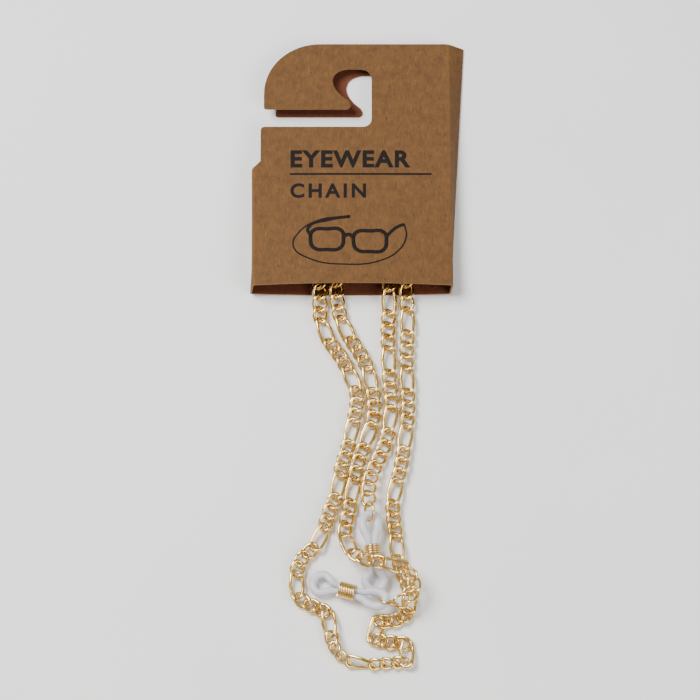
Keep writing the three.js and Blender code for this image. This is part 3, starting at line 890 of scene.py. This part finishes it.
# %% Flat blank
BOARD = 0.45 * MM
FOLD_LEFT = -26.9 * MM
FOLD_RIGHT = 25.1 * MM
MOUTH_Y = -24.3 * MM
TOP_MM = 45.2
TOP_Y = TOP_MM * MM
SPINE = 5.0 * MM
PANEL = FOLD_RIGHT - FOLD_LEFT
SEAM = 0.8 * MM  # from the blank's first edge to the fold at the back panel's left
FRONT_LEFT = SPINE - SEAM
FRONT_RIGHT = FRONT_LEFT + PANEL
BACK_RIGHT = FRONT_RIGHT + SPINE
BACK_LEFT = BACK_RIGHT + PANEL
BLANK = BACK_LEFT + SEAM
FOLDS = (FRONT_LEFT, FRONT_RIGHT, BACK_RIGHT, BACK_LEFT)


PANEL_PARTS = 20
HEIGHT_PARTS = 30
FOLD_PART = 0.3  # of a millimetre, beside the folds
EDGE_MARGIN = 0.1 * MM  # no dividing line runs nearer than this to the blank's ends


def division_lines():
    lines = []
    for start in (FRONT_LEFT, BACK_RIGHT):
        lines += [start + PANEL * i / PANEL_PARTS for i in range(1, PANEL_PARTS)]
    lines += [fold + step * FOLD_PART * MM for fold in FOLDS for step in range(-3, 4)]
    lines += [SPINE * 0.3, FRONT_RIGHT + SPINE / 2]
    return sorted(x for x in lines if EDGE_MARGIN < x < BLANK - EDGE_MARGIN)


def divide(piece, places, normal):
    """Cuts new edges across the whole piece, one line at each place."""
    edit_all(piece)
    for place in places:
        bpy.ops.mesh.select_all(action="SELECT")
        bpy.ops.mesh.bisect(plane_co=place, plane_no=normal)
    bpy.ops.object.mode_set(mode="OBJECT")


def make_blank():
    clear_selection()
    bpy.ops.mesh.primitive_plane_add(size=1)
    blank = named(bpy.context.object, "hanger_sleeve")
    height = TOP_Y - MOUTH_Y
    place = Matrix.Translation((BLANK / 2, (MOUTH_Y + TOP_Y) / 2, 0))
    fix_place(blank, place @ Matrix.Diagonal((BLANK, height, 1, 1)))
    divide(blank, [(x, 0, 0) for x in division_lines()], (1, 0, 0))
    levels = [MOUTH_Y + height * i / HEIGHT_PARTS for i in range(1, HEIGHT_PARTS)]
    divide(blank, [(0, y, 0) for y in levels], (0, 1, 0))
    thickness = blank.modifiers.new("board", "SOLIDIFY")
    thickness.thickness = BOARD
    thickness.offset = 0
    apply_modifiers(blank)
    return blank


sleeve = make_blank()
print("blank faces:", len(sleeve.data.polygons))

# %% [markdown]
# ### Cutting out
# Both panels have the same cut-outs: a notch, the slot that the hook enters by, the hook hole
# and the round shoulder. The outline is drawn once with straight runs, quadratic curves and one
# arc, laid on the front panel and, turned over, on the back panel, and cut with a boolean.

# %% Cutting outline
HOOK_ARC = 14.8
HOOK_EDGE_X = -24.3
NOTCH_X = -25.1
NOTCH_Y = 8.5
NOTCH_CHAMFER = 2.4
SLOT_LOW_Y = 20.8
SLOT_HIGH_Y = 25.9
HOLE_LEFT_X = -6.2
HOLE_RIGHT_X = 4.1
HOLE_TOP_Y = 37.7
HOLE_FLAT = 3.2
CORNER = 1.2
SLOT_FILLET = 2.6
FAR = 60.0
CURVE_STEPS = 8
ARC_STEPS = 16


def quadratic(points, bend, end):
    x0, y0 = points[-1]
    for i in range(1, CURVE_STEPS + 1):
        t = i / CURVE_STEPS
        a, b, c = (1 - t) ** 2, 2 * t * (1 - t), t * t
        points.append((a * x0 + b * bend[0] + c * end[0], a * y0 + b * bend[1] + c * end[1]))


def cutting_outline():
    """Round the waste, in millimetres, as seen on the front. The hole's corners all differ."""
    arc_x = HOOK_EDGE_X + HOOK_ARC
    arc_y = TOP_MM - HOOK_ARC
    flat_x = (HOLE_LEFT_X + HOLE_RIGHT_X) / 2 - HOLE_FLAT / 2 + 0.4
    line = [(-FAR, NOTCH_Y), (NOTCH_X - NOTCH_CHAMFER, NOTCH_Y)]
    line += [(NOTCH_X, NOTCH_Y + NOTCH_CHAMFER), (NOTCH_X, SLOT_LOW_Y - CORNER)]
    quadratic(line, (NOTCH_X, SLOT_LOW_Y), (NOTCH_X + CORNER, SLOT_LOW_Y))
    line.append((HOLE_RIGHT_X - SLOT_FILLET, SLOT_LOW_Y))
    quadratic(line, (HOLE_RIGHT_X, SLOT_LOW_Y), (HOLE_RIGHT_X, SLOT_LOW_Y + SLOT_FILLET))
    line.append((HOLE_RIGHT_X, HOLE_TOP_Y - 3.3))
    quadratic(line, (HOLE_RIGHT_X, HOLE_TOP_Y), (flat_x + HOLE_FLAT, HOLE_TOP_Y))
    line.append((flat_x, HOLE_TOP_Y))
    quadratic(line, (HOLE_LEFT_X, HOLE_TOP_Y - 0.6), (HOLE_LEFT_X, HOLE_TOP_Y - 3.6))
    quadratic(line, (HOLE_LEFT_X + 0.3, SLOT_HIGH_Y + 5.2), (HOLE_LEFT_X + 4.0, SLOT_HIGH_Y + 2.6))
    quadratic(line, (HOLE_LEFT_X + 5.6, SLOT_HIGH_Y + 0.7), (HOLE_LEFT_X + 3.8, SLOT_HIGH_Y))
    line.append((HOOK_EDGE_X + 0.8, SLOT_HIGH_Y))
    quadratic(line, (HOOK_EDGE_X, SLOT_HIGH_Y), (HOOK_EDGE_X, SLOT_HIGH_Y + 0.8))
    for i in range(ARC_STEPS + 1):
        angle = math.pi - math.pi / 2 * i / ARC_STEPS
        line.append((arc_x + HOOK_ARC * math.cos(angle), arc_y + HOOK_ARC * math.sin(angle)))
    return line + [(arc_x, FAR), (-FAR, FAR)]


print("outline points:", len(cutting_outline()))

# %% [markdown]
# The front panel drifts a little sideways from the mouth to the top, and the back panel more,
# because the sleeve has been pushed askew. On the blank, the outline is shifted back by the
# front panel's drift, so that it comes out upright once folded.

# %% Cut the blank
FRONT_LEAN = -0.9 * MM
CUT_DEPTH = 2 * MM


def height_share(y):
    return (y - MOUTH_Y) / (TOP_Y - MOUTH_Y)


def cutter(name, on_back):
    points = []
    for x_mm, y_mm in cutting_outline():
        x, y = x_mm * MM, y_mm * MM
        inward = x - FOLD_LEFT - FRONT_LEAN * height_share(y)
        u = BACK_LEFT - inward if on_back else FRONT_LEFT + inward
        points.append((u, y, -CUT_DEPTH))
    mesh = bpy.data.meshes.new(name)
    mesh.from_pydata(points, [], [range(len(points))])
    block = add_object(name, mesh)
    edit_all(block)
    bpy.ops.mesh.extrude_region_move(TRANSFORM_OT_translate={"value": (0, 0, 2 * CUT_DEPTH)})
    return face_outward(block)


for block in (cutter("front_waste", False), cutter("back_waste", True)):
    cut = sleeve.modifiers.new("cut", "BOOLEAN")
    cut.operation = "DIFFERENCE"
    cut.solver = "EXACT"
    cut.object = block
    apply_modifiers(sleeve)
    bpy.data.objects.remove(block)
print("cut blank faces:", len(sleeve.data.polygons))

# %% [markdown]
# ### Outside, inside and cut edges
# While the blank is flat, its upper faces are the outside, its lower faces the inside, and the
# rest are cut edges. Wear at the folds is painted as an attribute that fades over 0.7 mm.

# %% Finishes on the blank
FOLD_WEAR_WIDTH = 0.7 * MM
FOLD_WEAR_MOST = 0.35


def finish_blank(piece):
    for finish in (board_outside, inner_board_painted_shade, board_edge):
        piece.data.materials.append(finish)
    for face in piece.data.polygons:
        up = face.normal.z
        face.material_index = 0 if up > 0.5 else 1 if up < -0.5 else 2
    wear = piece.data.attributes.new("fold_wear", "FLOAT", "POINT")
    for vertex, value in zip(piece.data.vertices, wear.data):
        near = min(abs(vertex.co.x - fold) for fold in FOLDS)
        value.value = FOLD_WEAR_MOST * max(0.0, 1 - near / FOLD_WEAR_WIDTH)


finish_blank(sleeve)
finishes = [face.material_index for face in sleeve.data.polygons]
print("faces per finish:", [finishes.count(i) for i in range(3)])

# %% [markdown]
# ### Folding
# Folding is a move of every point: its distance along the blank says which panel it is on, and
# its height in the board says how far it stands off the board's middle. The panels follow the
# real sleeve's shape, pushed open by the chain at the mouth and flat at the top. Averaging the
# path over about a millimetre rounds the folds.

# %% Fold the sleeve
MOUTH_LEAN = -0.6 * MM
TOP_LEAN = 4.4 * MM
BACK_DROP = 0.6 * MM
FRONT_BULGE = 1.8 * MM
BACK_CURL = 1.0 * MM
BULGE_FADE = 0.62
CURL_FADE = 0.28
FOLD_ROUNDING = 0.55 * MM
SAMPLES = 7
SLOPE_STEP = 0.05 * MM
FOLD_CREASE = math.radians(35)


def mix(a, b, share):
    return a + (b - a) * share


def section(share):
    """Sizes of the sleeve's cross section at a share of its height."""
    lean = mix(MOUTH_LEAN, TOP_LEAN, share)
    curl = BACK_CURL * max(0.0, 1 - share / CURL_FADE) ** 2
    bulge = FRONT_BULGE * max(0.0, 1 - share / BULGE_FADE) ** 2
    front_z = BOARD / 2 + curl + math.sqrt(SPINE**2 - lean**2)
    return lean, FRONT_LEAN * share, curl, bulge, front_z


def sharp_point(u, share):
    """Where a point of the blank goes before rounding: x, z, and 1 on the front, 0 on the back."""
    lean, shift, curl, bulge, front_z = section(share)
    left, right = FOLD_LEFT + shift, FOLD_RIGHT + shift
    back_z = BOARD / 2 + curl
    u %= BLANK
    if u <= FRONT_LEFT or u > BACK_LEFT:
        level = (u + SEAM if u <= FRONT_LEFT else u - BACK_LEFT) / SPINE
        return left + lean * (1 - level), mix(back_z, front_z, level), level
    if u <= FRONT_RIGHT:
        side = 2 * (u - FRONT_LEFT) / PANEL - 1
        return mix(left, right, (side + 1) / 2), front_z + bulge * (1 - side**2), 1.0
    if u <= BACK_RIGHT:
        level = 1 - (u - FRONT_RIGHT) / SPINE
        return right + lean * (1 - level), mix(back_z, front_z, level), level
    side = 1 - 2 * (u - BACK_RIGHT) / PANEL
    return mix(left, right, (side + 1) / 2) + lean, BOARD / 2 + curl * side**2, 0.0


def rounded_point(u, share):
    spread = [FOLD_ROUNDING * (2 * i / (SAMPLES - 1) - 1) for i in range(SAMPLES)]
    found = [sharp_point(u + step, share) for step in spread]
    return [sum(values) / SAMPLES for values in zip(*found)]


def fold_point(point):
    share = height_share(point.y)
    x, z, level = rounded_point(point.x, share)
    x0, z0, _ = rounded_point(point.x - SLOPE_STEP, share)
    x1, z1, _ = rounded_point(point.x + SLOPE_STEP, share)
    long = math.hypot(x1 - x0, z1 - z0)
    out_x, out_z = (z0 - z1) / long, (x1 - x0) / long
    return Vector((x + out_x * point.z, point.y - BACK_DROP * (1 - level), z + out_z * point.z))


for vertex in sleeve.data.vertices:
    vertex.co = fold_point(vertex.co)
sleeve.data.update()
take(sleeve)
bpy.ops.object.shade_smooth_by_angle(angle=FOLD_CREASE)
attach(sleeve, "card")
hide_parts("hanger_card")
print("sleeve faces:", len(sleeve.data.polygons))

# %% [markdown]
# ## Print on the front
# The front is printed in near-black ink that soaks into the board, so it is matt and a little
# brown. The two words are plain ones that say what the thing is, and the drawing is a simple
# pair of spectacles on a cord. Text and strokes are made as thin solids, fitted to their place,
# and then laid on the curved front.

# %% Ink
def flexo_ink():
    material, place = new_material("flexographic_ink")
    tint = mottle(material, place, 0.5, {"Detail": 3.0}, (0.35, "#0B0706"), (0.75, "#1A110C"))
    shader = add_node(
        material,
        "ShaderNodeBsdfPrincipled",
        {"Base Color": tint, "Roughness": 0.7, "Specular IOR Level": 0.2},
    )
    return finish_surface(material, shader)


ink = flexo_ink()
INK_THICKNESS = 0.02 * MM
INK_STAND = 0.012 * MM
SAME_PLACE = 0.001 * MM
print("made", ink.name)

# %% Words, rule and strokes
def fit_to(piece, x0, x1, y0, y1):
    """Scales and moves a flat piece to fill a rectangle given in millimetres."""
    xs = [v.co.x for v in piece.data.vertices]
    ys = [v.co.y for v in piece.data.vertices]
    scale_x = (x1 - x0) * MM / (max(xs) - min(xs))
    scale_y = (y1 - y0) * MM / (max(ys) - min(ys))
    move = (x0 * MM - min(xs) * scale_x, y0 * MM - min(ys) * scale_y, 0)
    return fix_place(piece, Matrix.Translation(move) @ Matrix.Diagonal((scale_x, scale_y, 1, 1)))


def word(text, boldness, spacing, box):
    clear_selection()
    bpy.ops.object.text_add()
    letters = bpy.context.object
    letters.data.body = text
    letters.data.offset = boldness
    letters.data.space_character = spacing
    letters.data.extrude = INK_THICKNESS / 2
    bpy.ops.object.convert(target="MESH")
    return fit_to(bpy.context.object, *box)


def rule(box):
    clear_selection()
    bpy.ops.mesh.primitive_cube_add(size=1)
    bar = fit_to(bpy.context.object, *box)
    fix_place(bar, Matrix.Diagonal((1, 1, INK_THICKNESS, 1)))
    shares = [i / PANEL_PARTS for i in range(1, PANEL_PARTS)]
    divide(bar, [(mix(box[0], box[1], share) * MM, 0, 0) for share in shares], (1, 0, 0))
    return bar


def stroke(points, width, closed=False):
    """A pen line through points in millimetres: a rounded curve, flattened to a film of ink."""
    pen = drawn_curve(
        "stroke",
        [(x, y, 1.0) for x, y in points],
        closed,
        bevel_depth=width / 2 * MM,
        bevel_resolution=1,
        resolution_u=8,
        use_fill_caps=True,
    )
    return fix_place(pen, Matrix.Diagonal((1, 1, INK_THICKNESS / (width * MM), 1)))


# A lens rim of half width and half height 1: eight points round a softened rectangle.
RIM = [
    (-1, 0), (-0.86, 0.82), (0, 1), (0.86, 0.86),
    (1, 0.1), (0.8, -0.84), (0, -1), (-0.8, -0.8),
]  # fmt: skip
BOLD, WIDE_SET = 0.036, 1.12
SEMI_BOLD, WIDER_SET = 0.03, 1.3
RIM_PEN = 1.0
TEMPLE_PEN = 0.85
CORD_PEN = 0.42


def lens(x, y, wide, high):
    return [(x + wide / 2 * a, y + high / 2 * b) for a, b in RIM]


printed = [
    word("EYEWEAR", BOLD, WIDE_SET, (-17.2, 14.3, 9.0, 14.0)),
    rule((-17.4, 19.8, 6.9, 7.45)),
    word("CHAIN", SEMI_BOLD, WIDER_SET, (-17.2, 2.6, 0.3, 4.5)),
    stroke(lens(-7.6, -11.6, 8.6, 6.0), RIM_PEN, closed=True),
    stroke(lens(3.6, -12.2, 8.6, 6.0), RIM_PEN, closed=True),
    stroke([(-3.4, -10.9), (-2.0, -10.2), (-0.6, -11.2)], RIM_PEN),
    stroke([(-11.8, -10.6), (-12.6, -8.4), (-7.0, -5.9), (-1.6, -5.0)], TEMPLE_PEN),
    stroke([(7.8, -11.0), (8.9, -9.6), (10.9, -7.9), (12.6, -7.2)], TEMPLE_PEN),
    stroke(
        [
            (-1.6, -5.0), (-9.5, -6.0), (-15.0, -9.6), (-16.4, -13.4), (-12.0, -17.2),
            (-3.0, -18.9), (6.0, -17.9), (11.2, -14.6), (13.1, -10.6), (12.6, -7.2),
        ],
        CORD_PEN,
    ),
]  # fmt: skip
print("printed marks:", len(printed))

# %% Lay the print on the front
def front_surface(x, y):
    share = height_share(y)
    _, shift, _, bulge, front_z = section(share)
    side = 2 * (x - FOLD_LEFT - shift) / PANEL - 1
    return front_z + bulge * (1 - side**2) + BOARD / 2


front_print = join_all(printed, "front_print")
front_print.data.materials.clear()
front_print.data.materials.append(ink)
for vertex in front_print.data.vertices:
    x, y, z = vertex.co
    vertex.co.z = front_surface(x, y) + INK_STAND + z
for face in front_print.data.polygons:
    face.material_index = 0
edit_all(front_print)
bpy.ops.mesh.remove_doubles(threshold=SAME_PLACE)
face_outward(front_print)
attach(front_print, "card")
print("print faces:", len(front_print.data.polygons))

# %% [markdown]
# ## Clear tape
# A strip of clear tape keeps the four strands side by side inside the mouth. It is a thin
# plastic film: nearly invisible but for its gloss, with faint streaks a few millimetres long. A
# clear film adds gloss but no haze, so its own colour is dark and nearly all light goes through.
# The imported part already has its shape, so it only gets the finish.

# %% Clear tape
def clear_film():
    material, place = new_material("clear_tape_film")
    along = add_node(
        material, "ShaderNodeMapping", {"Vector": place, "Scale": (0.15, 1.0, 1.0)}
    ).outputs["Vector"]
    streak = add_node(
        material,
        "ShaderNodeTexNoise",
        {"Vector": along, "Scale": per_mm(0.8), "Detail": 2.0},
    )
    rough = add_node(
        material,
        "ShaderNodeMapRange",
        {"Value": streak.outputs["Fac"], "To Min": 0.12, "To Max": 0.35},
    )
    shader = add_node(
        material,
        "ShaderNodeBsdfPrincipled",
        {
            "Base Color": colour("#3A3028"),
            "Roughness": rough.outputs["Result"],
            "Alpha": 0.07,
        },
    )
    return finish_surface(material, shader)


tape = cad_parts["clear_tape"]
tape.data.materials.clear()
tape.data.materials.append(clear_film())

# %% [markdown]
# ## Table and light
# The floor is a plain pale table. One large soft lamp stands at the upper left and a weaker one
# at the right. Metal shows only what it reflects, so the surroundings are kept dimmer than the
# lit table, which gives the gold its deep tones.

# %% Table and light
TABLE_WIDTH = 4.0
ROOM_STRENGTH = 0.42


def pale_table():
    material, place = new_material("pale_table")
    tint = mottle(material, place, 60, {}, (0.3, "#F3F3F2"), (0.7, "#F7F7F6"))
    shader = add_node(material, "ShaderNodeBsdfPrincipled", {"Base Color": tint, "Roughness": 0.7})
    return finish_surface(material, shader)


clear_selection()
bpy.ops.mesh.primitive_plane_add(size=TABLE_WIDTH)
table_top = named(bpy.context.object, "table_top")
table_top.data.materials.append(pale_table())
table_top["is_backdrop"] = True

world = bpy.data.worlds.new("soft_room")
bpy.context.scene.world = world
world.use_nodes = True
surroundings = world.node_tree.nodes["Background"].inputs
surroundings["Color"].default_value = colour("#F1F1EF")
surroundings["Strength"].default_value = ROOM_STRENGTH


def soft_lamp(name, place, size, watts):
    lamp_data = bpy.data.lights.new(name, "AREA")
    lamp_data.shape = "DISK"
    lamp_data.size = size
    lamp_data.energy = watts
    lamp = add_object(name, lamp_data)
    lamp.location = place
    toward = AIM - Vector(place)
    lamp.rotation_euler = toward.to_track_quat("-Z", "Y").to_euler()


soft_lamp("key_lamp", (-0.45, 0.15, 0.75), size=0.5, watts=13.0)
soft_lamp("fill_lamp", (0.6, -0.5, 0.6), size=0.6, watts=5.5)
print("lamps and table set")

# %% [markdown]
# ## Measuring and finish
# Both boxes, the imported parts' and the finished pieces', are measured and printed. The
# finished pieces have to stay inside the imported parts' box.

# %% Finish
visual_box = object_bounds()
sizes = {
    "cad": [list(corner) for corner in cad_box],
    "visual": [list(corner) for corner in visual_box],
}
for name, box in sizes.items():
    print(name, [[round(x * 1000, 2) for x in corner] for corner in box])
